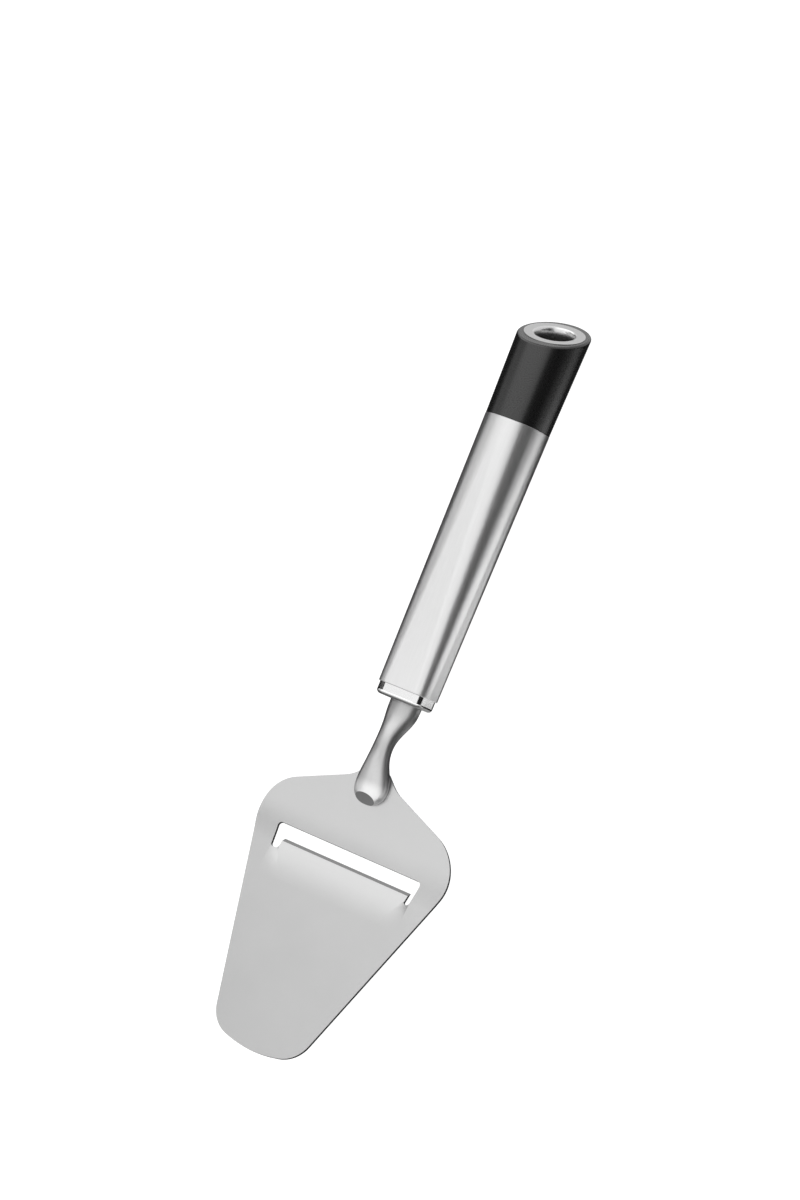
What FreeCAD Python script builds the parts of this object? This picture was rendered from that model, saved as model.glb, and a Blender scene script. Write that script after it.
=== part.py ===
import FreeCAD, Part
import math
import os
import Sketcher

# Cheese slicer: a stamped steel blade with a slot and a pressed cutting lip, a forged neck welded on it,
# and a tubular steel handle closed by a polished bolster below and a plastic cap with a hanging eye above.
# The slicer lies on its back: Y runs along the handle, away from the blade, and the slice face of the blade looks up.
# The origin is in the middle of the hanging ring's bore, and all pieces are symmetric about X = 0.
# The pieces are drawn with the handle upright, its slanted end in the middle, and laid down at the end.

SIZES = (
    ("tube_length", 89.6, "handle tube, from the bolster end to the cap joint"),
    ("tube_low_width", 18.4, "tube across X at the bolster end"),
    ("tube_low_depth", 12.6, "tube across Y at the bolster end"),
    ("tube_low_corner", 3.8, "corner radius of the tube at the bolster end"),
    ("tube_top_diameter", 21.2, "tube at the cap joint, nearly round"),
    ("tube_top_corner", 10.4, "corner radius of the tube at the cap joint"),
    ("tube_wall", 0.5, "sheet of the tube"),
    ("tube_rim_break", 0.2, "broken edge of the tube's two rims"),
    ("seat_clearance", 0.05, "gap all round a piece that sits in another"),
    ("cap_length", 30.7, "cap on the handle's axis, joint to slanted end"),
    ("cap_end_diameter", 22.6, "cap where the axis meets the slanted end"),
    ("cap_rim_round", 0.8, "rounding of the cap's slanted rim"),
    ("spigot_length", 12.0, "part of the cap inside the tube"),
    ("end_slant", 30.0, "degrees from the handle's axis to the normal of the slanted end"),
    ("eye_hole", 9.5, "hole through the cap below the ring"),
    ("ring_diameter", 19.5, "flange of the hanging ring"),
    ("ring_thickness", 1.0, "sheet of the flange"),
    ("ring_proud", 0.15, "flange above the slanted end"),
    ("ring_bore", 12.0, "bore of the hanging ring"),
    ("ring_wall", 0.7, "sleeve of the hanging ring"),
    ("ring_sleeve", 8.0, "ring from its face to the end of its sleeve"),
    ("ring_lip_round", 1.3, "rounded mouth of the ring"),
    ("bolster_show", 3.75, "bolster below the tube"),
    ("bolster_insert", 9.0, "bolster inside the tube"),
    ("bolster_round", 1.3, "rounding of the bolster's lower rim"),
    ("core_length", 40.0, "moulded core above the bolster"),
    ("core_roof", 0.5, "room above the tang in the core"),
    ("tang_width", 7.0, "tang across X"),
    ("tang_depth", 5.0, "tang across Y"),
    ("tang_length", 45.0, "tang above the bolster's lower face"),
    ("neck_width", 11.1, "neck across X at the bolster"),
    ("neck_front", 1.6, "front of the neck ahead of the axis at the bolster"),
    ("neck_back", 5.4, "back of the neck behind the axis at the bolster"),
    ("neck_corner", 2.9, "corner radius of the neck at the bolster"),
    ("crown_angle", 28, "degrees by which the neck's crowned front falls off to its sides"),
    ("crown_share", 0.55, "radius of that crown as a share of the neck's width"),
    ("scoop_drop", 6.8, "start of the scooped back below the bolster"),
    ("scoop_width", 9.6, "neck across X there"),
    ("scoop_front", 2.5, "front of the neck ahead of the axis there"),
    ("scoop_back", 4.3, "back of the neck behind the axis there"),
    ("scoop_corner", 3.0, "corner radius of the neck there"),
    ("waist_drop", 14.3, "waist of the neck below the bolster"),
    ("waist_width", 7.4, "neck across X at the waist"),
    ("waist_front", 4.2, "front of the waist ahead of the axis"),
    ("waist_back", 1.4, "back of the waist behind the axis"),
    ("waist_corner", 2.5, "corner radius of the waist"),
    ("neck_drop", 21.9, "blade's tongue end below the bolster"),
    ("heel_width", 9.0, "neck across X above the tongue end"),
    ("heel_front", 3.7, "front of the neck ahead of the axis there"),
    ("heel_back", 2.7, "back of the neck behind the axis there"),
    ("heel_corner", 2.7, "corner radius of the neck there"),
    ("foot_length", 11.85, "foot of the neck on the blade"),
    ("foot_width", 11.6, "foot across X"),
    ("foot_front", 1.2, "crown of the foot ahead of the axis at its middle"),
    ("foot_corner", 4.0, "corner radius of the foot"),
    ("foot_sink", 4.6, "depth of the bar behind the seat before the seat is cut"),
    ("thumb_flat", 0.2, "straight bit in the middle of the foot's round end"),
    ("toe_fall", 1.6, "end of the crown behind the axis"),
    ("facet_length", 3.3, "flat cut on the foot's end, along the axis"),
    ("facet_height", 3.0, "flat cut on the foot's end, off the blade"),
    ("seat_back", 2.06, "blade's tongue end behind the axis"),
    ("blade_tilt", 10.0, "degrees between the blade's front part and the handle's axis"),
    ("blade_bend", 16.0, "degrees by which the blade's rear part rises from its front part"),
    ("bend_round", 46.0, "radius of that bend on the upper face"),
    ("sheet", 1.1, "thickness of the blade"),
    ("tip_width", 31.5, "blade between the corners of its tip"),
    ("tip_rise", 2.5, "corners of the tip above its foremost point"),
    ("tip_point", 0.9, "meeting of the tip's two edges below its rounded foremost point"),
    ("tip_round", 38.0, "radius of the tip's edge"),
    ("tip_corner", 10.6, "radius of the tip's corners"),
    ("front_length", 77.8, "tip to the widest corners of the blade"),
    ("shoulder_width", 77.7, "blade between its widest corners, before rounding"),
    ("shoulder_round", 14.1, "radius of those corners"),
    ("shoulder_length", 12.3, "widest corners to the throat below the neck"),
    ("throat_width", 16.4, "blade between the corners of the throat, before rounding"),
    ("throat_round", 13.0, "hollow radius of the throat"),
    ("tongue_length", 4.3, "throat to the end of the tongue under the neck"),
    ("tongue_width", 7.2, "end of the tongue"),
    ("tongue_round", 2.2, "corners of the tongue"),
    ("bend_setback", 9.7, "bend below the widest corners"),
    ("slot_setback", 9.6, "slot's upper edge below the widest corners"),
    ("slot_height", 8.1, "slot with the two legs at its ends"),
    ("slot_top_width", 54.4, "slot along its upper edge"),
    ("slot_low_width", 52.7, "slot across the feet of its legs"),
    ("slot_round", 1.3, "upper corners of the slot"),
    ("leg_round", 0.9, "rounding at the feet of the slot's legs"),
    ("press_length", 8.8, "pressed ramp below the legs"),
    ("press_width", 38.0, "start of the pressed ramp"),
    ("lip_width", 48.0, "cutting lip"),
    ("lip_length", 4.0, "lip above the feet of the legs"),
    ("lip_angle", 12.5, "degrees by which the lip goes down"),
    ("lip_bevel", 1.1, "ground bevel along the lip"),
    ("lip_edge", 0.12, "thickness left at the cutting edge"),
)

TOLERANCE = 0.001
X_AXIS = FreeCAD.Vector(1, 0, 0)
QUARTER_TURN = 90

doc = FreeCAD.newDocument("cheese_slicer")
sheet = doc.addObject("Spreadsheet::Sheet", "sizes")
for row, (alias, value, note) in enumerate(SIZES, start=1):
    sheet.set(f"A{row}", note)
    sheet.set(f"B{row}", str(value))
    sheet.setAlias(f"B{row}", alias)
doc.recompute()


class Size:
    """A measure with its present number and the formula that ties it to the sheet."""

    def __init__(self, value, formula):
        self.value = value
        self.formula = formula

    def __add__(self, other):
        other = as_size(other)
        return Size(self.value + other.value, f"({self.formula} + {other.formula})")

    def __sub__(self, other):
        other = as_size(other)
        return Size(self.value - other.value, f"({self.formula} - {other.formula})")

    def __mul__(self, other):
        other = as_size(other)
        return Size(self.value * other.value, f"({self.formula} * {other.formula})")

    def __truediv__(self, other):
        other = as_size(other)
        return Size(self.value / other.value, f"({self.formula} / {other.formula})")

    def __neg__(self):
        return as_size(0) - self


def as_size(item):
    return item if isinstance(item, Size) else Size(float(item), str(float(item)))


def sine(angle):
    return Size(math.sin(math.radians(angle.value)), f"sin({angle.formula})")


def cosine(angle):
    return Size(math.cos(math.radians(angle.value)), f"cos({angle.formula})")


def tangent(angle):
    return sine(angle) / cosine(angle)


def size(alias):
    return Size(float(sheet.get(alias)), f"sizes.{alias}")


def drive(item, path, measure):
    """Ties one property of an object to the sheet."""
    item.setExpression(path, as_size(measure).formula)


def new_body(label):
    body = doc.addObject("PartDesign::Body", label)
    body.Label = label
    return body


def new_sketch(body, name, role, height=None, slant=None):
    """A sketch on one of the body's own planes, raised along the plane's normal or slanted about X."""
    sketch = body.newObject("Sketcher::SketchObject", name)
    planes = [item for item in body.Origin.OriginFeatures if item.Role == role]
    sketch.AttachmentSupport = (planes[0], [""])
    sketch.MapMode = "FlatFace"
    if slant is not None:
        sketch.AttachmentOffset = FreeCAD.Placement(FreeCAD.Vector(), FreeCAD.Rotation(X_AXIS, 1))
        drive(sketch, "AttachmentOffset.Rotation.Angle", slant)
    if height is not None:
        drive(sketch, "AttachmentOffset.Base.z", height)
    return sketch


def hold(sketch, kind, *items, measure):
    """Adds a measured constraint and ties it to the sheet."""
    measure = as_size(measure)
    index = sketch.addConstraint(Sketcher.Constraint(kind, *items, measure.value))
    sketch.setExpression(f"Constraints[{index}]", measure.formula)


def pin_point(sketch, shape, x, y):
    """Holds the first point of a shape at x, y."""
    for kind, axis, place in (("DistanceX", -2, x), ("DistanceY", -1, y)):
        if isinstance(place, Size):
            hold(sketch, kind, -1, 1, shape, 1, measure=place)
        else:
            sketch.addConstraint(Sketcher.Constraint("PointOnObject", shape, 1, axis))


def add_outline(sketch, corners):
    """A closed outline through corners (x, y, radius); 0 puts a corner on the axis or leaves it sharp."""
    count = len(corners)
    places = [FreeCAD.Vector(as_size(x).value, as_size(y).value, 0) for x, y, radius in corners]
    ways = [(places[(i + 1) % count] - places[i]).normalize() for i in range(count)]
    turns = [math.atan2(ways[i - 1].cross(ways[i]).z, ways[i - 1].dot(ways[i])) for i in range(count)]
    reaches = [as_size(corners[i][2]).value * math.tan(abs(turns[i]) / 2) for i in range(count)]
    starts = [places[i] + ways[i] * reaches[i] for i in range(count)]
    ends = [places[i] - ways[i - 1] * reaches[i] for i in range(count)]
    sides = [sketch.addGeometry(Part.LineSegment(starts[i], ends[(i + 1) % count])) for i in range(count)]
    for i, (x, y, radius) in enumerate(corners):
        if not isinstance(radius, Size):
            sketch.addConstraint(Sketcher.Constraint("Coincident", sides[i - 1], 2, sides[i], 1))
            pin_point(sketch, sides[i], x, y)
            continue
        inward = (ways[i] - ways[i - 1]).normalize()
        centre = places[i] + inward * (radius.value / math.cos(turns[i] / 2))
        crown = centre - inward * radius.value
        if turns[i] > 0:
            arc = sketch.addGeometry(Part.Arc(ends[i], crown, starts[i]))
            first, last = 1, 2
        else:
            arc = sketch.addGeometry(Part.Arc(starts[i], crown, ends[i]))
            first, last = 2, 1
        corner = sketch.addGeometry(Part.Point(places[i]), True)
        sketch.addConstraint(Sketcher.Constraint("Tangent", sides[i - 1], 2, arc, first))
        sketch.addConstraint(Sketcher.Constraint("Tangent", arc, last, sides[i], 1))
        sketch.addConstraint(Sketcher.Constraint("PointOnObject", corner, 1, sides[i - 1]))
        sketch.addConstraint(Sketcher.Constraint("PointOnObject", corner, 1, sides[i]))
        hold(sketch, "Radius", arc, measure=radius)
        pin_point(sketch, corner, x, y)


def add_block(sketch, width, front, back, radius):
    """A rounded rectangle, symmetric about X = 0, from Y = front to Y = back."""
    half = width / 2
    add_outline(sketch, [
        (-half, front, radius),
        (half, front, radius),
        (half, back, radius),
        (-half, back, radius),
    ])


def add_circle(sketch, diameter):
    circle = sketch.addGeometry(Part.Circle(FreeCAD.Vector(), FreeCAD.Vector(0, 0, 1), diameter.value / 2))
    sketch.addConstraint(Sketcher.Constraint("Coincident", circle, 3, -1, 1))
    hold(sketch, "Diameter", circle, measure=diameter)


def extrude(body, kind, name, sketch, length, symmetric=False, reverse=False):
    """A Pad or a Pocket of a sketch; a pocket normally goes against the sketch's normal."""
    feature = body.newObject(f"PartDesign::{kind}", name)
    feature.Profile = sketch
    feature.SideType = "Symmetric" if symmetric else "One side"
    feature.Reversed = reverse
    drive(feature, "Length", length)
    doc.recompute()
    return feature


def loft(body, kind, name, sketches, ruled):
    feature = body.newObject(f"PartDesign::{kind}", name)
    feature.Profile = sketches[0]
    feature.Sections = sketches[1:]
    feature.Ruled = ruled
    doc.recompute()
    return feature


def round_edges(body, name, base, chosen, radius):
    """Rounds the edges of a feature for which chosen(edge) is true."""
    names = [f"Edge{i}" for i, edge in enumerate(base.Shape.Edges, start=1) if chosen(edge)]
    feature = body.newObject("PartDesign::Fillet", name)
    feature.Base = (base, names)
    drive(feature, "Radius", radius)
    doc.recompute()
    return feature


# Places along the handle's axis that several pieces share.
clearance = size("seat_clearance")
joint_z = -size("cap_length")
tube_low_z = joint_z - size("tube_length")
bolster_low_z = tube_low_z - size("bolster_show")
bolster_top_z = tube_low_z + size("bolster_insert")
tongue_z = bolster_low_z - size("neck_drop")
foot_low_z = tongue_z - size("foot_length")
tang_y = (size("neck_back") - size("neck_front")) / 2
rear_lean = size("blade_bend") - size("blade_tilt")


def add_tube_section(sketch, height, inset):
    """The tube's section at a height above its lower end, drawn in by inset."""
    share = height / size("tube_length")
    width = size("tube_low_width") + (size("tube_top_diameter") - size("tube_low_width")) * share - inset * 2
    depth = size("tube_low_depth") + (size("tube_top_diameter") - size("tube_low_depth")) * share - inset * 2
    corner = size("tube_low_corner") + (size("tube_top_corner") - size("tube_low_corner")) * share - inset
    add_block(sketch, width, -depth / 2, depth / 2, corner)


# Handle tube: brushed sheet, drawn from a flat rounded section at the bolster to a round one at the cap.
tube = new_body("handle_tube")
rim = size("tube_rim_break")
tube_skins = {
    "outer": [
        (as_size(0), rim),
        (rim, as_size(0)),
        (size("tube_length") - rim, as_size(0)),
        (size("tube_length"), rim),
    ],
    "inner": [
        (as_size(0), size("tube_wall")),
        (size("tube_length"), size("tube_wall")),
    ],
}
for skin, kind in (("outer", "AdditiveLoft"), ("inner", "SubtractiveLoft")):
    tube_sections = []
    for number, (height, inset) in enumerate(tube_skins[skin]):
        section = new_sketch(tube, f"tube_{skin}_{number}", "XY_Plane", tube_low_z + height)
        add_tube_section(section, height, inset)
        tube_sections.append(section)
    loft(tube, kind, f"tube_{skin}_skin", tube_sections, True)

# Bolster: polished plug in the tube's lower end, with a slot for the tang.
bolster = new_body("bolster")
bolster_section = new_sketch(bolster, "bolster_section", "XY_Plane", bolster_low_z)
add_tube_section(bolster_section, as_size(0), size("tube_wall") + clearance)
bolster_block = extrude(bolster, "Pad", "bolster_block", bolster_section, bolster_top_z - bolster_low_z)
round_edges(
    bolster, "bolster_rim", bolster_block,
    lambda edge: edge.BoundBox.ZMax < bolster_low_z.value + size("bolster_round").value,
    size("bolster_round"),
)


def add_tang_section(sketch, gap):
    half_depth = size("tang_depth") / 2 + gap
    half_width = size("tang_width") / 2 + gap
    add_outline(sketch, [
        (-half_width, tang_y - half_depth, 0),
        (half_width, tang_y - half_depth, 0),
        (half_width, tang_y + half_depth, 0),
        (-half_width, tang_y + half_depth, 0),
    ])


bolster_slot = new_sketch(bolster, "bolster_slot", "XY_Plane", bolster_low_z)
add_tang_section(bolster_slot, clearance)
extrude(bolster, "Pocket", "bolster_passage", bolster_slot, bolster_top_z - bolster_low_z, reverse=True)

# Core: moulded plastic that fills the tube above the bolster and grips the tang.
core = new_body("tang_core")
core_ends = []
for end, height in (("low", size("bolster_insert")), ("top", size("bolster_insert") + size("core_length"))):
    section = new_sketch(core, f"core_{end}", "XY_Plane", tube_low_z + height)
    add_tube_section(section, height, size("tube_wall") + clearance)
    core_ends.append(section)
loft(core, "AdditiveLoft", "core_block", core_ends, True)
core_socket = new_sketch(core, "core_socket", "XY_Plane", bolster_top_z)
add_tang_section(core_socket, clearance)
socket_depth = size("tang_length") - size("bolster_show") - size("bolster_insert") + size("core_roof")
extrude(core, "Pocket", "core_grip", core_socket, socket_depth, reverse=True)

# Neck: forged bar, straight in front and scooped at the back, drawn out to a thumb-shaped foot on the blade.
neck = new_body("neck")
foot_y = size("seat_back") + size("foot_length") * tangent(rear_lean)
sunk_y = foot_y + size("foot_sink")
neck_stations = (
    ("top", as_size(0), "neck", -size("neck_front"), size("neck_back")),
    ("scoop", size("scoop_drop"), "scoop", -size("scoop_front"), size("scoop_back")),
    ("waist", size("waist_drop"), "waist", -size("waist_front"), size("waist_back")),
    ("heel", size("neck_drop"), "heel", -size("heel_front"), size("heel_back")),
    ("foot", size("neck_drop") + size("foot_length") / 2, "foot", -size("foot_front"), sunk_y),
    ("toe", size("neck_drop") + size("foot_length"), "foot", size("toe_fall"), sunk_y + size("foot_sink")),
)


def add_bar_section(sketch, width, front, back, corner):
    """The forged bar's section: a rounded block whose front is crowned and reaches to Y = front."""
    half = width / 2
    crown = width * size("crown_share")
    ridge = front - crown * (as_size(1) / cosine(size("crown_angle")) - 1)
    side = ridge + half * tangent(size("crown_angle"))
    add_outline(sketch, [
        (0, ridge, crown),
        (half, side, corner),
        (half, back, corner),
        (-half, back, corner),
        (-half, side, corner),
    ])


neck_sections = []
for name, drop, measure, front, back in neck_stations:
    section = new_sketch(neck, f"neck_{name}", "XY_Plane", bolster_low_z - drop)
    add_bar_section(section, size(f"{measure}_width"), front, back, size(f"{measure}_corner"))
    neck_sections.append(section)
loft(neck, "AdditiveLoft", "neck_bar", neck_sections, False)
beyond = size("foot_width") * 2

# The foot is cut flat where it lies on the blade, from the tongue end down.
seat_cut = new_sketch(neck, "foot_seat", "YZ_Plane")
add_outline(seat_cut, [
    (size("seat_back"), tongue_z, 0),
    (foot_y + beyond * tangent(rear_lean), foot_low_z - beyond, 0),
    (foot_y + beyond, foot_low_z - beyond, 0),
    (foot_y + beyond, tongue_z, 0),
])
extrude(neck, "Pocket", "foot_seat_cut", seat_cut, beyond, symmetric=True)

# The end of the foot is cut to a small slanted facet that faces the blade's tip.
facet_cut = new_sketch(neck, "foot_facet", "YZ_Plane")
facet_slope = size("facet_length") / (size("facet_height") + size("facet_length") * tangent(rear_lean))
add_outline(facet_cut, [
    (foot_y + beyond, foot_low_z - beyond * facet_slope, 0),
    (foot_y - beyond, foot_low_z + beyond * facet_slope, 0),
    (foot_y - beyond, foot_low_z - beyond * facet_slope, 0),
])
extrude(neck, "Pocket", "foot_facet_cut", facet_cut, beyond, symmetric=True)

# Seen from the front the foot ends in a half round.
thumb_cut = new_sketch(neck, "foot_thumb", "XZ_Plane")
half_foot = size("foot_width") / 2
thumb_round = half_foot - size("thumb_flat") / 2
add_outline(thumb_cut, [
    (-half_foot - beyond, foot_low_z - beyond, 0),
    (half_foot + beyond, foot_low_z - beyond, 0),
    (half_foot + beyond, foot_low_z + half_foot, 0),
    (half_foot, foot_low_z + half_foot, 0),
    (half_foot, foot_low_z, thumb_round),
    (-half_foot, foot_low_z, thumb_round),
    (-half_foot, foot_low_z + half_foot, 0),
    (-half_foot - beyond, foot_low_z + half_foot, 0),
])
extrude(neck, "Pocket", "foot_thumb_cut", thumb_cut, (size("neck_back") + beyond) * 2, symmetric=True)
tang_section = new_sketch(neck, "tang_section", "XY_Plane", bolster_low_z)
add_tang_section(tang_section, as_size(0))
extrude(neck, "Pad", "tang", tang_section, size("tang_length"))

# Blade: drawn flat in its own frame, with Y from the tip to the handle and Z up from the upper face.
blade = new_body("blade")
front_length = size("front_length")
throat_y = front_length + size("shoulder_length")
blade_length = throat_y + size("tongue_length")
bend_y = front_length - size("bend_setback")
thick = size("sheet")
bend = size("blade_bend")
margin = size("tip_round")

# The sheet seen from the side: flat in front, then bent up behind the slot.
ribbon = new_sketch(blade, "sheet_side", "YZ_Plane")
rear_run = blade_length - bend_y + margin
add_outline(ribbon, [
    (-margin, -thick, 0),
    (bend_y + thick * tangent(bend / 2), -thick, size("bend_round") + thick),
    (bend_y + rear_run * cosine(bend) + thick * sine(bend), rear_run * sine(bend) - thick * cosine(bend), 0),
    (bend_y + rear_run * cosine(bend), rear_run * sine(bend), 0),
    (bend_y, 0, size("bend_round")),
    (-margin, 0, 0),
])
extrude(blade, "Pad", "bent_sheet", ribbon, size("shoulder_width") + margin, symmetric=True)

# The stamped outline: all of the sheet outside it is cut away.
trim = new_sketch(blade, "sheet_outline", "XY_Plane")
half_sheet = size("shoulder_width") / 2 + margin
add_outline(trim, [
    (-half_sheet, -margin * 2, 0),
    (half_sheet, -margin * 2, 0),
    (half_sheet, blade_length + margin * 2, 0),
    (-half_sheet, blade_length + margin * 2, 0),
])
half_outline = [
    (size("tip_width") / 2, size("tip_rise"), size("tip_corner")),
    (size("shoulder_width") / 2, front_length, size("shoulder_round")),
    (size("throat_width") / 2, throat_y, size("throat_round")),
    (size("tongue_width") / 2, blade_length, size("tongue_round")),
]
other_half = [(-x, y, radius) for x, y, radius in reversed(half_outline)]
add_outline(trim, [(0, -size("tip_point"), size("tip_round"))] + half_outline + other_half)
sheet_height = (rear_run + margin) * 2
extrude(blade, "Pocket", "stamped_outline", trim, sheet_height, symmetric=True)

# The slot with its two end legs, and below them the field that is pressed down to the lip.
slot_top_y = front_length - size("slot_setback")
slot_low_y = slot_top_y - size("slot_height")
press_y = slot_low_y - size("press_length")
lip_y = slot_low_y + size("leg_round")
half_top = size("slot_top_width") / 2
half_low = size("slot_low_width") / 2
half_lip = size("lip_width") / 2
slot = new_sketch(blade, "slot_outline", "XY_Plane")
add_outline(slot, [
    (-half_low, press_y, 0),
    (half_low, press_y, 0),
    (half_low, lip_y, 0),
    (half_top, slot_top_y, size("slot_round")),
    (-half_top, slot_top_y, size("slot_round")),
    (-half_low, lip_y, 0),
])
extrude(blade, "Pocket", "slot", slot, sheet_height, symmetric=True)

# The pressed ramp curves down from the flat sheet to the slope of the lip, with its sides drawn up to the legs.
lip_slope = tangent(size("lip_angle"))
ramp_run = lip_y - press_y
ramp_drop = ramp_run * lip_slope / 2
RAMP_STEPS = 4
ramp_sections = []
for step in range(RAMP_STEPS + 1):
    share = as_size(step) / RAMP_STEPS
    knee = size("press_width") / 2 + (half_lip - size("press_width") / 2) * share
    drop = ramp_drop * share * share if step else as_size(0)
    section = new_sketch(blade, f"ramp_{step}", "XZ_Plane", -press_y - ramp_run * share)
    add_outline(section, [
        (-half_low, -thick, 0),
        (-knee, -thick - drop, 0),
        (knee, -thick - drop, 0),
        (half_low, -thick, 0),
        (half_low, 0, 0),
        (knee, -drop, 0),
        (-knee, -drop, 0),
        (-half_low, 0, 0),
    ])
    ramp_sections.append(section)
loft(blade, "AdditiveLoft", "pressed_ramp", ramp_sections, False)

# The feet of the legs are rounded between the lip and the sides of the slot.
leg_round = size("leg_round")
for side, near, far in (("left", -half_low, -half_lip), ("right", half_lip, half_low)):
    leg = new_sketch(blade, f"leg_{side}", "XY_Plane")
    add_outline(leg, [
        (near, slot_low_y, leg_round),
        (far, slot_low_y, leg_round),
        (far, lip_y + leg_round, 0),
        (near, lip_y + leg_round, 0),
    ])
    extrude(blade, "Pocket", f"leg_{side}_cut", leg, sheet_height, symmetric=True)

# The free lip carries the ground bevel and the cutting edge, which looks towards the handle.
lip_side = new_sketch(blade, "lip_side", "YZ_Plane")
edge_y = slot_low_y + size("lip_length")
edge_drop = ramp_drop + (edge_y - lip_y) * lip_slope
bevel_y = edge_y - size("lip_bevel")
add_outline(lip_side, [
    (lip_y, -ramp_drop - thick, 0),
    (edge_y, -edge_drop - thick, 0),
    (edge_y, -edge_drop - thick + size("lip_edge"), 0),
    (bevel_y, -edge_drop + size("lip_bevel") * lip_slope, 0),
    (lip_y, -ramp_drop, 0),
])
extrude(blade, "Pad", "lip", lip_side, size("lip_width"), symmetric=True)

# The blade stands with its tongue end at the neck, tilted so that its tip comes forward.
tilt = size("blade_tilt")
tongue_rise = (blade_length - bend_y) * tangent(bend)
blade_y = size("seat_back") - blade_length * sine(tilt) + tongue_rise * cosine(tilt)
blade_z = tongue_z - blade_length * cosine(tilt) - tongue_rise * sine(tilt)

# End cap: moulded plastic, flush with the tube, with a spigot inside it and a slanted end.
cap = new_body("end_cap")
cap_over = size("cap_end_diameter")
cut_width = cap_over * 3
cap_flare = (size("cap_end_diameter") - size("tube_top_diameter")) / size("cap_length")
cap_low = new_sketch(cap, "cap_low", "XY_Plane", joint_z)
add_circle(cap_low, size("tube_top_diameter"))
cap_top = new_sketch(cap, "cap_top", "XY_Plane", cap_over)
add_circle(cap_top, size("cap_end_diameter") + cap_flare * cap_over)
loft(cap, "AdditiveLoft", "cap_body", [cap_low, cap_top], True)
end_face = new_sketch(cap, "end_face", "XY_Plane", slant=size("end_slant"))
add_circle(end_face, cut_width)
slant_cut = extrude(cap, "Pocket", "slanted_end", end_face, cap_over * 2, reverse=True)
end_normal = FreeCAD.Vector(0, -sine(size("end_slant")).value, cosine(size("end_slant")).value)
round_edges(
    cap, "cap_rim", slant_cut,
    lambda edge: all(abs(end_normal.dot(point)) < TOLERANCE for point in edge.discretize(5)),
    size("cap_rim_round"),
)
spigot_ends = []
for end, height in (("top", size("tube_length")), ("low", size("tube_length") - size("spigot_length"))):
    section = new_sketch(cap, f"spigot_{end}", "XY_Plane", tube_low_z + height)
    add_tube_section(section, height, size("tube_wall") + clearance)
    spigot_ends.append(section)
loft(cap, "AdditiveLoft", "spigot_plug", spigot_ends, True)
sleeve_diameter = size("ring_bore") + size("ring_wall") * 2
for name, diameter, depth in (
    ("ring_recess", size("ring_diameter") + clearance * 2, size("ring_thickness") - size("ring_proud")),
    ("sleeve_hole", sleeve_diameter + clearance * 2, size("ring_sleeve") - size("ring_proud")),
    ("eye_passage", size("eye_hole"), cap_over * 2),
):
    hole = new_sketch(cap, f"{name}_circle", "XY_Plane", slant=size("end_slant"))
    add_circle(hole, diameter)
    extrude(cap, "Pocket", name, hole, depth)

# Hanging ring: turned steel eyelet let into the slanted end, flange and sleeve in one.
ring = new_body("hanging_ring")
ring_side = new_sketch(ring, "ring_side", "XZ_Plane")
bore_radius = size("ring_bore") / 2
flange_low = size("ring_proud") - size("ring_thickness")
add_outline(ring_side, [
    (bore_radius, size("ring_proud") - size("ring_sleeve"), 0),
    (sleeve_diameter / 2, size("ring_proud") - size("ring_sleeve"), 0),
    (sleeve_diameter / 2, flange_low, 0),
    (size("ring_diameter") / 2, flange_low, 0),
    (size("ring_diameter") / 2, size("ring_proud"), 0),
    (bore_radius, size("ring_proud"), size("ring_lip_round")),
])
turned = ring.newObject("PartDesign::Revolution", "turned_ring")
turned.Profile = ring_side
turned.ReferenceAxis = (ring_side, ["V_Axis"])
turned.Angle = 360

# All pieces are laid back by a quarter turn, and move together so that the middle of the bore is the origin.
# The blade is drawn lying, so only its tilt is left to turn; the ring is drawn square to the handle's axis.
eye_depth = (size("ring_lip_round") + size("ring_sleeve")) / 2 - size("ring_proud")
eye_y = -eye_depth * sine(size("end_slant"))
eye_z = eye_depth * cosine(size("end_slant"))
pieces = (blade, neck, bolster, tube, core, cap, ring)
turns = {blade: tilt, ring: as_size(QUARTER_TURN) - size("end_slant")}
for piece in pieces:
    piece.Placement = FreeCAD.Placement(FreeCAD.Vector(), FreeCAD.Rotation(-X_AXIS, 1))
    drive(piece, "Placement.Rotation.Angle", turns.get(piece, QUARTER_TURN))
    drive(piece, "Placement.Base.y", eye_z + (blade_z if piece is blade else 0))
    drive(piece, "Placement.Base.z", -eye_y - (blade_y if piece is blade else 0))

doc.recompute()
failed = [item.Label for item in doc.Objects if {"Invalid", "Error"} & set(item.State)]
broken = [piece.Label for piece in pieces if not piece.Shape.isValid() or len(piece.Shape.Solids) != 1]
if failed or broken:
    raise RuntimeError(f"not built: {failed} {broken}")

os.makedirs("parts", exist_ok=True)
for piece in pieces:
    piece.Shape.exportStep(f"parts/{piece.Label}.step")
    solids = len(piece.Shape.Solids)
    print(f"{piece.Label}: {solids} solid, {piece.Shape.Volume:.1f} mm3")
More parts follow.
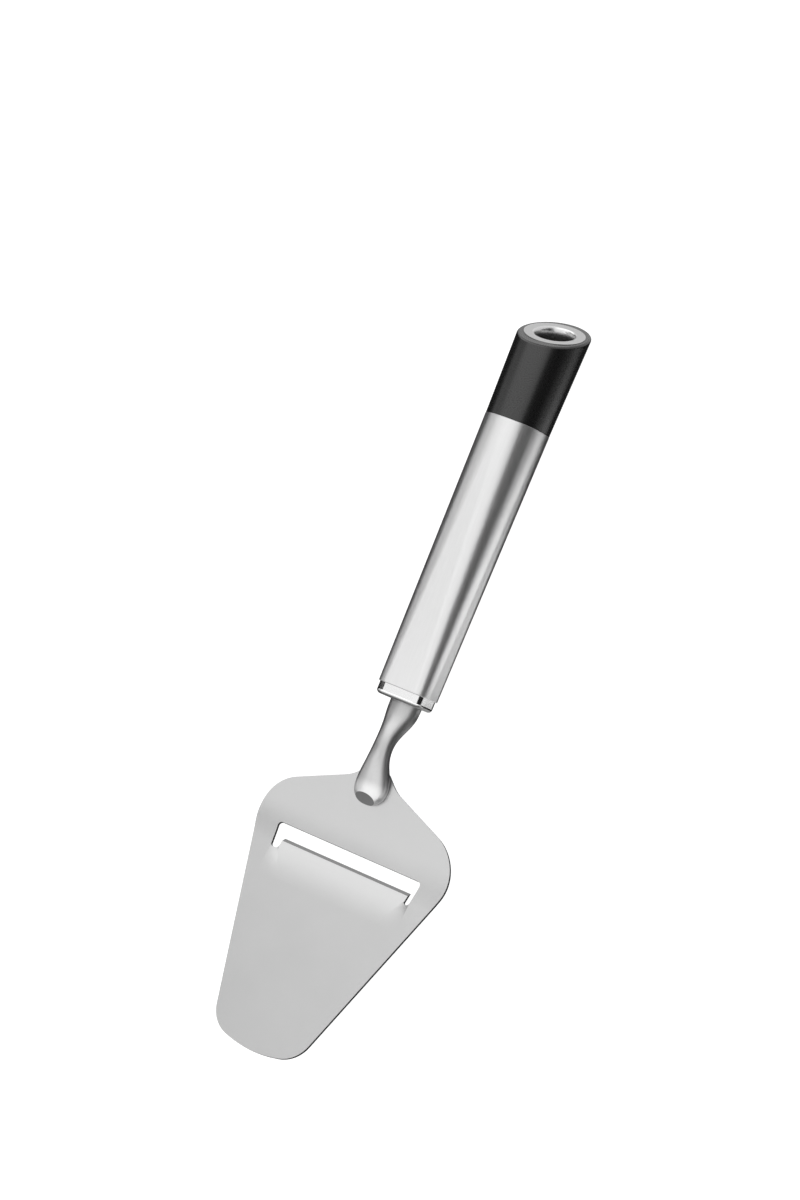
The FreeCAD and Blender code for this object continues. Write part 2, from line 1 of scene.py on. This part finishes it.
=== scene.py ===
import math
import bmesh
import bpy
from mathutils import Matrix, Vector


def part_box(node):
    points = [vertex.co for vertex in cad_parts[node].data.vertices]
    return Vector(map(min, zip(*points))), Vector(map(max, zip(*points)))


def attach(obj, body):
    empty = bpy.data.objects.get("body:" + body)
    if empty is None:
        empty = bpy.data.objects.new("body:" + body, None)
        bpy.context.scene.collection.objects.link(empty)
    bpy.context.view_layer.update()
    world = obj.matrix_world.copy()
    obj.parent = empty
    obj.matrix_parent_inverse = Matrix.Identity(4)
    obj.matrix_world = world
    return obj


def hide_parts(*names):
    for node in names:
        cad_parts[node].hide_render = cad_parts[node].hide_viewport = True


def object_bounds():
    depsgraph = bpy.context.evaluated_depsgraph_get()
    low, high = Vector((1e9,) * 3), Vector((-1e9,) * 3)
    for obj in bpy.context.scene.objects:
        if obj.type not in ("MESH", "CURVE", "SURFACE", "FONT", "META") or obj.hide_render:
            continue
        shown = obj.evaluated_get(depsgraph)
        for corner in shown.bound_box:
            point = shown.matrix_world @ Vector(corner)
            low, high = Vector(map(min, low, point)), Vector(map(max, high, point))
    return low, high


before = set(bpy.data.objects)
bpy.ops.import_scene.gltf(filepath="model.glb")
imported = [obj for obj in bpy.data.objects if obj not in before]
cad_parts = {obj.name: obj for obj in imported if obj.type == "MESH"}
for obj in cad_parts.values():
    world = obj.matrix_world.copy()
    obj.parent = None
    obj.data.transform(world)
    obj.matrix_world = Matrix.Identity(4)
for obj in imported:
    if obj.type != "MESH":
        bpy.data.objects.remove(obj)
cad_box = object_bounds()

# Blade: stamped from rolled stainless sheet, bent behind the slot and pressed down below it to a ground lip.
# The two faces keep the even matte grain of the sheet, and the ground strip is darker; the sheared edges get
# painted shade, a near-black matte colour in place of the steel.
BLADE_TILT = math.radians(10)
BLADE_BEND = math.radians(16)
BLADE_TONE = 0.415
BLADE_TONE_SWING = 0.03
BLADE_ROUGHNESS = 0.34
BLADE_GRAIN_SCALE = 5200
BLADE_GRAIN_ROUGHNESS = 0.08
BLADE_GRAIN_DEPTH = 0.00001
BLADE_CLOUD_SCALE = 70
BLADE_CLOUD_ROUGHNESS = 0.06
# How squarely a surface looks along the blade's face where sheared goes over to ground, and ground to flat.
SHEARED_TO_GROUND = (0.3, 0.5)
GROUND_TO_FLAT = (0.8, 0.9)
GROUND_SHADE = 0.4
GROUND_POLISH = 0.1
# Painted shade: the near-black matte colour laid on the sheared edges.
EDGE_PAINTED_SHADE_COLOUR = (0.03, 0.03, 0.03, 1)


def leaning(angle):
    """The upward direction, leant by an angle from straight up towards the tip of the blade."""
    return (0, -math.sin(angle), math.cos(angle))


class Port:
    """One output of a node in a finish; arithmetic on it adds Math nodes."""

    def __init__(self, tree, socket):
        self.tree = tree
        self.socket = socket

    def node(self, kind, settings=None, sockets=None, output=0):
        """Adds a node: its settings first, then the values or links of its sockets."""
        made = self.tree.nodes.new(kind)
        for name, value in (settings or {}).items():
            setattr(made, name, value)
        for name, value in (sockets or {}).items():
            if isinstance(value, Port):
                self.tree.links.new(value.socket, made.inputs[name])
            else:
                made.inputs[name].default_value = value
        return Port(self.tree, made.outputs[output])

    def maths(self, operation, *values):
        return self.node("ShaderNodeMath", {"operation": operation}, dict(enumerate(values)))

    def __add__(self, other):
        return self.maths("ADD", self, other)

    def __sub__(self, other):
        return self.maths("SUBTRACT", self, other)

    def __rsub__(self, other):
        return self.maths("SUBTRACT", other, self)

    def __mul__(self, other):
        return self.maths("MULTIPLY", self, other)

    def __abs__(self):
        return self.maths("ABSOLUTE", self)

    __radd__ = __add__
    __rmul__ = __mul__

    def rise(self, low, high):
        """0 below low, 1 above high, and a smooth slope between."""
        steps = {"Value": self, "From Min": low, "From Max": high}
        return self.node("ShaderNodeMapRange", {"interpolation_type": "SMOOTHSTEP"}, steps)

    def noise(self, scale, stretch=(1, 1, 1)):
        """Noise from 0 to 1 on these coordinates, drawn out along an axis by a small factor in stretch."""
        drawn_out = self.node("ShaderNodeMapping", None, {"Vector": self, "Scale": stretch})
        return self.node("ShaderNodeTexNoise", None, {"Vector": drawn_out, "Scale": scale})

    def swing(self, amount):
        """This noise as a change of so much from its lowest to its highest, evenly about zero."""
        return amount * (self - 0.5)

    def along(self, way):
        """How far this vector goes along a direction."""
        return self.node("ShaderNodeVectorMath", {"operation": "DOT_PRODUCT"}, {0: self, 1: way}, "Value")

    def facing(self, way):
        """How far the surface looks along a direction: 1 along it, 0 square to it, -1 against it."""
        return self.node("ShaderNodeNewGeometry", output="Normal").along(way)

    def feed(self, shader, socket):
        self.tree.links.new(self.socket, shader.inputs[socket])

    def bump(self, shader, depth):
        """Lets this height, in depth metres from 0 to 1, press the surface of the shader."""
        self.node("ShaderNodeBump", None, {"Height": self, "Distance": depth}).feed(shader, "Normal")


def new_finish(name, **constants):
    """A finish with one Principled shader; returns it, its Object coordinates and the shader."""
    material = bpy.data.materials.new(name)
    material.use_nodes = True
    tree = material.node_tree
    shader = tree.nodes["Principled BSDF"]
    for socket, value in constants.items():
        shader.inputs[socket.replace("_", " ")].default_value = value
    return material, Port(tree, tree.nodes.new("ShaderNodeTexCoord").outputs["Object"]), shader


def wear(node_name, material):
    """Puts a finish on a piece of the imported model."""
    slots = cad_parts[node_name].data.materials
    slots.clear()
    slots.append(material)


blade_finish, place, shader = new_finish("blade_matte_sheet", Metallic=1.0)
flatness = abs(place.facing(leaning(-BLADE_TILT)))
grain = place.noise(BLADE_GRAIN_SCALE)
cloud = place.noise(BLADE_CLOUD_SCALE)
unsheared = flatness.rise(*SHEARED_TO_GROUND)
ground = unsheared * (1 - flatness.rise(*GROUND_TO_FLAT))
tone = BLADE_TONE + cloud.swing(BLADE_TONE_SWING) + grain.swing(BLADE_TONE_SWING)
(tone * (1 - GROUND_SHADE * ground)).feed(shader, "Base Color")
roughness = BLADE_ROUGHNESS + grain.swing(BLADE_GRAIN_ROUGHNESS) + cloud.swing(BLADE_CLOUD_ROUGHNESS)
(roughness - GROUND_POLISH * ground).feed(shader, "Roughness")
grain.bump(shader, BLADE_GRAIN_DEPTH)
sheet = Port(blade_finish.node_tree, shader.outputs["BSDF"])
# Painted shade: the sheared edges are drawn in a near-black matte colour instead of the sheet's steel.
painted_edge_shade = place.node("ShaderNodeBsdfDiffuse", None, {"Color": EDGE_PAINTED_SHADE_COLOUR})
both = place.node("ShaderNodeMixShader", None, {0: 1 - unsheared, 1: sheet, 2: painted_edge_shade})
both.feed(blade_finish.node_tree.nodes["Material Output"], "Surface")
wear("blade", blade_finish)

# Neck: a round steel bar forged down to a waist and out again to a domed foot, welded on the blade's tongue.
# The foot is ground flat where it lies on the blade and at its toe; a flat tang goes up into the handle.
# It is satin finished by hand, with fine lines along it; the foot's nose is lightened as a painted
# highlight, and its ground toe is darkened, partly for the grinding and partly as painted shade.
BAR_SIDES = 16
ROUNDING_LEVELS = 3
# Rounding the bar draws a ring of so many sides in to this share of its radius.
ROUNDING_LOSS = (2 + math.cos(2 * math.pi / BAR_SIDES)) / 3
# Each station of the bar gives its place along the handle, its width, and the heights of its front and back.
NECK_STATIONS = (
    (-0.1160, 0.0110, 0.0035, -0.0035),
    (-0.1210, 0.0110, 0.0035, -0.00345),
    (-0.1240, 0.0108, 0.0036, -0.0034),
    (-0.1270, 0.0091, 0.0042, -0.0026),
    (-0.1300, 0.0075, 0.0052, -0.0009),
    (-0.1330, 0.0066, 0.0058, 0.0008),
    (-0.1360, 0.0067, 0.0059, 0.0013),
    (-0.1390, 0.0075, 0.0057, 0.0008),
    (-0.1420, 0.0092, 0.0053, -0.0012),
    (-0.1450, 0.0110, 0.0047, -0.0030),
    (-0.1478, 0.0118, 0.0040, -0.0032),
    (-0.1504, 0.0110, 0.00365, -0.0029),
    (-0.1519, 0.0091, 0.0031, -0.0023),
    (-0.1531, 0.0063, 0.0022, -0.0014),
    (-0.1538, 0.0032, 0.0013, -0.0005),
)
HANDLE_WAY = (0, 1, 0)
BOLSTER_FACE = (0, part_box("bolster")[0].y, 0)
TANG_SIZE = (0.007, 0.045, 0.005)
TANG_Z = 0.00035
SEAT_FROM_Y = -0.1375
SEAT_POINT = (0, -0.1539, -0.001055)
SEAT_DOWN = [-part for part in leaning(BLADE_BEND - BLADE_TILT)]
FACET_POINT = (0, -0.1520, 0.0019)
FACET_LEAN = math.radians(45.486)
FACET_FACE = leaning(FACET_LEAN)
FACET_EDGE = (0.996, 0.999)
CUT_TOLERANCE = 1e-7
NECK_SHARP = math.radians(7)
NECK_TONE = 0.41
NECK_ROUGHNESS = 0.33
NECK_LINE_SCALE = 6000
NECK_LINE_STRETCH = (1, 0.06, 1)
NECK_LINE_SWING = 0.06
# Painted highlight: the foot's nose, towards the toe from these places along the handle, is drawn lighter.
NOSE_HIGHLIGHT_FADE_Y = (-0.149, -0.1455)
NOSE_PAINTED_HIGHLIGHT = 0.16
# Painted shade, partly the ground finish: the toe facet is drawn darker.
FACET_PAINTED_SHADE = 0.62


def cut_flat(shape, faces, point, way):
    """Cuts away what lies beyond a plane on these faces and closes the cut; way points out of what stays."""
    parts = list(faces)
    parts += list(dict.fromkeys(edge for face in faces for edge in face.edges))
    parts += list(dict.fromkeys(vert for face in faces for vert in face.verts))
    cut = bmesh.ops.bisect_plane(
        shape, geom=parts, dist=CUT_TOLERANCE, plane_co=point, plane_no=way, clear_outer=True)
    rim = [part for part in cut["geom_cut"] if isinstance(part, bmesh.types.BMEdge)]
    bmesh.ops.edgeloop_fill(shape, edges=rim)


def add_object(name, shape, finish):
    """Makes a shape an object of the scene, in one finish."""
    mesh = bpy.data.meshes.new(name)
    shape.to_mesh(mesh)
    shape.free()
    mesh.materials.append(finish)
    made = bpy.data.objects.new(name, mesh)
    bpy.context.scene.collection.objects.link(made)
    return made


def add_piece(name, shape, sharp, finish, node_name):
    """Makes a shape, smooth up to a sharp angle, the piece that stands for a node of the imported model."""
    bmesh.ops.recalc_face_normals(shape, faces=shape.faces)
    piece = add_object(name, shape, finish)
    piece.data.shade_smooth()
    piece.data.set_sharp_from_angle(angle=sharp)
    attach(piece, "root")
    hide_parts(node_name)
    return piece


bar = bmesh.new()
upright = Matrix.Rotation(math.pi / 2, 4, "X")
rings = []
for along, width, front, back in NECK_STATIONS:
    ring = bmesh.ops.create_circle(bar, segments=BAR_SIDES, radius=0.5 / ROUNDING_LOSS)["verts"]
    spread = Matrix.Diagonal((width, 1, front - back, 1))
    station = Matrix.Translation((0, along, (front + back) / 2))
    bmesh.ops.transform(bar, verts=ring, matrix=station @ spread @ upright)
    rings.append([edge for edge in bar.edges if edge.verts[0] in ring])
for upper, lower in zip(rings, rings[1:]):
    bmesh.ops.bridge_loops(bar, edges=upper + lower)
for end in (rings[0], rings[-1]):
    bmesh.ops.edgeloop_fill(bar, edges=end)
cage_mesh = bpy.data.meshes.new("neck_cage")
bar.to_mesh(cage_mesh)
bar.clear()
cage = bpy.data.objects.new("neck_cage", cage_mesh)
bpy.context.scene.collection.objects.link(cage)
rounding = cage.modifiers.new("rounding", "SUBSURF")
rounding.levels = ROUNDING_LEVELS
rounding.render_levels = ROUNDING_LEVELS
rounded = cage.evaluated_get(bpy.context.evaluated_depsgraph_get())
bar.from_mesh(bpy.data.meshes.new_from_object(rounded))
bpy.data.objects.remove(cage)
cut_flat(bar, bar.faces[:], BOLSTER_FACE, HANDLE_WAY)
foot = [face for face in bar.faces if face.calc_center_median().y < SEAT_FROM_Y]
cut_flat(bar, foot, SEAT_POINT, SEAT_DOWN)
cut_flat(bar, bar.faces[:], FACET_POINT, FACET_FACE)
tang_place = Matrix.Translation((0, BOLSTER_FACE[1] + TANG_SIZE[1] / 2, TANG_Z))
bmesh.ops.create_cube(bar, size=1, matrix=tang_place @ Matrix.Diagonal((*TANG_SIZE, 1)))

neck_finish, place, shader = new_finish("neck_satin", Metallic=1.0)
lines = place.noise(NECK_LINE_SCALE, NECK_LINE_STRETCH)
facet = place.facing(FACET_FACE).rise(*FACET_EDGE)
# Painted highlight: the nose is drawn lighter towards the toe.
nose_painted_highlight = 1 - place.along(HANDLE_WAY).rise(*NOSE_HIGHLIGHT_FADE_Y)
tone = NECK_TONE + NOSE_PAINTED_HIGHLIGHT * nose_painted_highlight + lines.swing(NECK_LINE_SWING)
# Painted shade, partly the ground finish: the toe facet is drawn darker.
(tone * (1 - FACET_PAINTED_SHADE * facet)).feed(shader, "Base Color")
(NECK_ROUGHNESS + lines.swing(NECK_LINE_SWING)).feed(shader, "Roughness")
add_piece("forged_neck", bar, NECK_SHARP, neck_finish, "neck")

# Bolster: a plug of polished steel that closes the lower end of the tube and lets the neck's tang through.
# The polish leaves the faintest lines round it, and the rounded lower rim and the end are duller, and drawn
# darker as painted shade.
BOLSTER_TONE = 0.67
BOLSTER_TONE_SWING = 0.03
BOLSTER_ROUGHNESS = 0.12
BOLSTER_ROUGHNESS_SWING = 0.04
BOLSTER_LINE_SCALE = 5000
BOLSTER_LINE_STRETCH = (0.04, 1, 0.04)
BOLSTER_END_WAY = (0, -1, 0)
RIM_FACING = (0.2, 0.6)
# Painted shade on the faces that look down towards the blade.
RIM_PAINTED_SHADE = 0.7
RIM_DULLNESS = 0.2
bolster_finish, place, shader = new_finish("bolster_polish", Metallic=1.0)
lines = place.noise(BOLSTER_LINE_SCALE, BOLSTER_LINE_STRETCH)
rim = place.facing(BOLSTER_END_WAY).rise(*RIM_FACING)
# Painted shade: the downward-looking rim and end are drawn darker.
((BOLSTER_TONE + lines.swing(BOLSTER_TONE_SWING)) * (1 - RIM_PAINTED_SHADE * rim)).feed(shader, "Base Color")
(BOLSTER_ROUGHNESS + lines.swing(BOLSTER_ROUGHNESS_SWING) + RIM_DULLNESS * rim).feed(shader, "Roughness")
wear("bolster", bolster_finish)

# Core: a grey plastic moulding that fills the lower half of the tube and grips the tang.
# Its skin is dull, with the fine grain of the mould; nobody sees it unless the handle is taken apart.
CORE_TONE = 0.09
CORE_TONE_SWING = 0.03
CORE_ROUGHNESS = 0.6
CORE_GRAIN_SCALE = 2500
CORE_GRAIN_DEPTH = 0.00002
core_finish, place, shader = new_finish("core_moulding", Roughness=CORE_ROUGHNESS)
grain = place.noise(CORE_GRAIN_SCALE)
(CORE_TONE + grain.swing(CORE_TONE_SWING)).feed(shader, "Base Color")
grain.bump(shader, CORE_GRAIN_DEPTH)
wear("tang_core", core_finish)

# Handle tube: thin stainless sheet drawn from a flat rounded section at the bolster to a round one above.
# It is brushed along its length, which leaves fine lines and broader, fainter streaks.
TUBE_TONE = 0.6
TUBE_ROUGHNESS = 0.32
TUBE_ROUGHNESS_SWING = 0.12
TUBE_LINE_SCALE = 6000
TUBE_LINE_STRETCH = (1, 0.012, 1)
TUBE_LINE_SWING = 0.05
TUBE_LINE_DEPTH = 0.00001
TUBE_STREAK_SCALE = 1500
TUBE_STREAK_STRETCH = (1, 0.02, 1)
TUBE_STREAK_SWING = 0.03
tube_finish, place, shader = new_finish("tube_brushed", Metallic=1.0)
lines = place.noise(TUBE_LINE_SCALE, TUBE_LINE_STRETCH)
streaks = place.noise(TUBE_STREAK_SCALE, TUBE_STREAK_STRETCH)
(TUBE_TONE + lines.swing(TUBE_LINE_SWING) + streaks.swing(TUBE_STREAK_SWING)).feed(shader, "Base Color")
(TUBE_ROUGHNESS + lines.swing(TUBE_ROUGHNESS_SWING)).feed(shader, "Roughness")
lines.bump(shader, TUBE_LINE_DEPTH)
wear("handle_tube", tube_finish)

# End cap: moulded from satin black plastic, with a spigot that is pushed into the tube.
# Its slanted end takes the hanging ring; the mould gives it an even, very fine grain.
CAP_TONE = 0.002
CAP_TONE_SWING = 0.002
CAP_IOR = 1.6
CAP_ROUGHNESS = 0.27
CAP_ROUGHNESS_SWING = 0.1
CAP_GRAIN_SCALE = 3600
CAP_GRAIN_DEPTH = 0.00001
cap_finish, place, shader = new_finish("cap_satin_black", IOR=CAP_IOR)
grain = place.noise(CAP_GRAIN_SCALE)
(CAP_TONE + grain.swing(CAP_TONE_SWING)).feed(shader, "Base Color")
(CAP_ROUGHNESS + grain.swing(CAP_ROUGHNESS_SWING)).feed(shader, "Roughness")
grain.bump(shader, CAP_GRAIN_DEPTH)
wear("end_cap", cap_finish)

# Hanging ring: a steel eyelet turned on a lathe and pressed into the slanted end of the cap.
# Its flat face is satin; the mouth is drawn in smoothly and polished, and the bore is drawn darker deep
# inside as painted shade.
# Heights are along the ring's axis, from the middle of the bore.
RING_SLANT = math.radians(60)
RING_AXIS = leaning(-RING_SLANT)
RING_LENGTH = 0.008
BORE_RADIUS = 0.006
SLEEVE_WALL = 0.0007
SLEEVE_RADIUS = BORE_RADIUS + SLEEVE_WALL
SLEEVE_END = -0.00335
FLANGE_RADIUS = 0.00975
FLANGE_SHEET = 0.001
RING_FACE = SLEEVE_END + RING_LENGTH
FLANGE_BACK = RING_FACE - FLANGE_SHEET
MOUTH_WIDTH = 0.0011
MOUTH_DEPTH = 0.0026
MOUTH_STEPS = 20
RING_STEPS = 128
RING_SHARP = math.radians(30)
RING_TONE = 0.6
RING_TONE_SWING = 0.04
RING_ROUGHNESS = 0.28
RING_ROUGHNESS_SWING = 0.05
RING_GRAIN_SCALE = 6000
FACE_FACING = (0.95, 0.99)
FACE_SHADE = 0.12
FACE_DULLNESS = 0.07
# Painted shade: the bore is drawn darker the deeper it goes between these heights.
DARK_TO_BRIGHT_HEIGHT = (-0.0015, 0.0025)
BORE_PAINTED_SHADE = 0.8
turned = bmesh.new()
mouth = turned.verts.new((BORE_RADIUS + MOUTH_WIDTH, 0, RING_FACE))
mouth_middle = (BORE_RADIUS + MOUTH_WIDTH, 0, RING_FACE - MOUTH_WIDTH)
drawn_in = bmesh.ops.spin(
    turned, geom=[mouth], cent=mouth_middle, axis=(0, 1, 0), angle=-math.pi / 2, steps=MOUTH_STEPS)
to_face = Matrix.Translation((0, 0, RING_FACE))
deepen = Matrix.Diagonal((1, 1, MOUTH_DEPTH / MOUTH_WIDTH, 1))
bmesh.ops.transform(turned, verts=turned.verts, matrix=to_face @ deepen @ to_face.inverted())
corner = next(part for part in drawn_in["geom_last"] if isinstance(part, bmesh.types.BMVert))
for radius, height in (
        (BORE_RADIUS, SLEEVE_END), (SLEEVE_RADIUS, SLEEVE_END), (SLEEVE_RADIUS, FLANGE_BACK),
        (FLANGE_RADIUS, FLANGE_BACK), (FLANGE_RADIUS, RING_FACE)):
    following = turned.verts.new((radius, 0, height))
    turned.edges.new((corner, following))
    corner = following
turned.edges.new((corner, mouth))
bmesh.ops.spin(
    turned, geom=turned.verts[:] + turned.edges[:], cent=(0, 0, 0), axis=(0, 0, 1), angle=2 * math.pi,
    steps=RING_STEPS, use_merge=True)
bmesh.ops.rotate(turned, verts=turned.verts, cent=(0, 0, 0), matrix=Matrix.Rotation(-RING_SLANT, 3, "X"))

ring_finish, place, shader = new_finish("ring_turned", Metallic=1.0)
flat_face = place.facing(RING_AXIS).rise(*FACE_FACING)
grain = place.noise(RING_GRAIN_SCALE)
deep = 1 - place.along(RING_AXIS).rise(*DARK_TO_BRIGHT_HEIGHT)
tone = RING_TONE - FACE_SHADE * flat_face + grain.swing(RING_TONE_SWING)
# Painted shade deep in the bore.
(tone * (1 - BORE_PAINTED_SHADE * deep)).feed(shader, "Base Color")
(RING_ROUGHNESS + FACE_DULLNESS * flat_face + grain.swing(RING_ROUGHNESS_SWING)).feed(shader, "Roughness")
add_piece("turned_ring", turned, RING_SHARP, ring_finish, "hanging_ring")

# Stage: the slicer lies on a white table in an even white surround.
# Bright cards and dark flags stand in arcs round the handle's line, for the steel and the cap to mirror.
FLOOR_Z = cad_box[0].z
FLOOR_REACH = 6.0
FLOOR_COLOUR = (0.3, 0.3, 0.3, 1)
FLOOR_ROUGHNESS = 0.9
FLOOR_GLOW = 0.95
WHITE = (1, 1, 1, 1)
SURROUND_GLOW = 1.0
CARD_STEPS = 24
# Each card gives its two bearings, in degrees from the top towards +X, then its two edges, each as
# a distance from the handle's line and a place along it, and its glow.
CARDS = {
    "toe_card": (-70, 58, (1.0, -0.62), (0.4, -1.4), 1.5),
    "far_right_flag": (58, 112, (1.0, -0.68), (0.4, -1.4), 0.3),
    "far_left_flag": (-160, -74, (1.1, -0.5), (0.4, -1.4), 0.3),
    "low_card": (-45, -12, (1.0, -0.62), (1.0, -0.2), 1.7),
    "foot_card": (-12, 62, (1.0, -0.62), (1.0, -0.42), 2.1),
    "neck_card": (-12, 30, (1.0, -0.42), (1.0, -0.2), 1.1),
    "key_card": (-45, 33, (1.0, -0.2), (1.0, 0.12), 1.3),
    "ramp_card": (-60, 20, (1.0, 0.12), (0.98, 0.32), 1.65),
    "high_card": (-85, 15, (0.98, 0.32), (0.7, 0.8), 2.0),
    "key_left_card": (-84, -45, (1.0, -0.2), (1.0, 0.04), 1.2),
    "upper_left_flag": (-90, -48, (0.97, 0.04), (0.97, 0.3), 0.4),
    "left_flag": (-104, -84, (0.9, -0.23), (0.9, 0.3), 0.03),
    "left_low_flag": (-84, -46, (0.9, -0.2), (0.9, -0.075), 0.02),
    "left_inner_flag": (-46, -31, (0.9, -0.19), (0.9, -0.075), 0.03),
    "right_flag": (36, 86, (0.9, -0.3), (0.9, 0.35), 0.02),
    "neck_flag": (86, 165, (0.07, -0.144), (0.07, -0.1205), 0.03),
    "bolster_card": (90, 158, (0.95, -0.137), (0.95, -0.1), 0.5),
    "mouth_card": (170, 350, (0.35, 1.2), (0.05, 1.35), 1.8),
    "end_flag": (0, 360, (0.4, -1.4), (0.01, -1.5), 0.1),
    "right_card": (98, 155, (1.0, -0.17), (1.0, -0.01), 2.1),
    "right_top_card": (98, 143, (1.0, -0.01), (1.0, 0.05), 2.3),
    "right_upper_card": (116, 136, (1.0, 0.05), (1.0, 0.5), 0.2),
    "cap_flag": (86, 114, (0.9, 0.01), (0.9, 0.4), 0.02),
    "back_side_flag": (136, 157, (1.05, -0.02), (1.05, 0.5), 0.03),
    "back_flag": (156, 262, (1.1, -0.45), (1.1, 0.62), 0.03),
}
scene = bpy.context.scene
scene.view_settings.view_transform = "Standard"
floor_finish, _, _ = new_finish(
    "floor_white", Roughness=FLOOR_ROUGHNESS, Base_Color=FLOOR_COLOUR, Emission_Color=WHITE,
    Emission_Strength=FLOOR_GLOW, Specular_IOR_Level=0.0)
table = bmesh.new()
bmesh.ops.create_grid(table, x_segments=1, y_segments=1, size=FLOOR_REACH)
bmesh.ops.translate(table, verts=table.verts, vec=(0, 0, FLOOR_Z))
floor = add_object("floor", table, floor_finish)
floor.visible_glossy = False

scene.world = bpy.data.worlds.new("studio")
scene.world.use_nodes = True
surround = scene.world.node_tree.nodes["Background"]
surround.inputs["Color"].default_value = WHITE
surround.inputs["Strength"].default_value = SURROUND_GLOW

for name, (start, end, near, far, glow) in CARDS.items():
    arc = bmesh.new()
    bearing = math.radians(start)
    ends = [arc.verts.new((radius * math.sin(bearing), along, radius * math.cos(bearing)))
            for radius, along in (near, far)]
    side = arc.edges.new(ends)
    sweep = math.radians(end - start)
    bmesh.ops.spin(arc, geom=ends + [side], cent=(0, 0, 0), axis=HANDLE_WAY, angle=sweep, steps=CARD_STEPS)
    card_finish, place, _ = new_finish(name)
    light = place.node("ShaderNodeEmission", None, {"Color": (glow, glow, glow, 1)})
    light.feed(card_finish.node_tree.nodes["Material Output"], "Surface")
    card = add_object(name, arc, card_finish)
    card.visible_camera = False
    card.visible_diffuse = False
    card.visible_shadow = False
    card.visible_transmission = False

# Camera: looks down on the slice face from the right of the handle, through a long lens.
# It stands about a metre off and is turned so that the handle leans to the right, as in the photograph.
CAMERA_PLACE = (0.44387, -0.12742, 0.84899)
CAMERA_TURN = (13.5735, 25.327, 24.8753)
CAMERA_LENS = 92.53
camera_data = bpy.data.cameras.new("camera")
camera_data.lens = CAMERA_LENS
camera = bpy.data.objects.new("camera", camera_data)
camera.location = CAMERA_PLACE
camera.rotation_euler = [math.radians(turn) for turn in CAMERA_TURN]
scene.collection.objects.link(camera)
scene.camera = camera
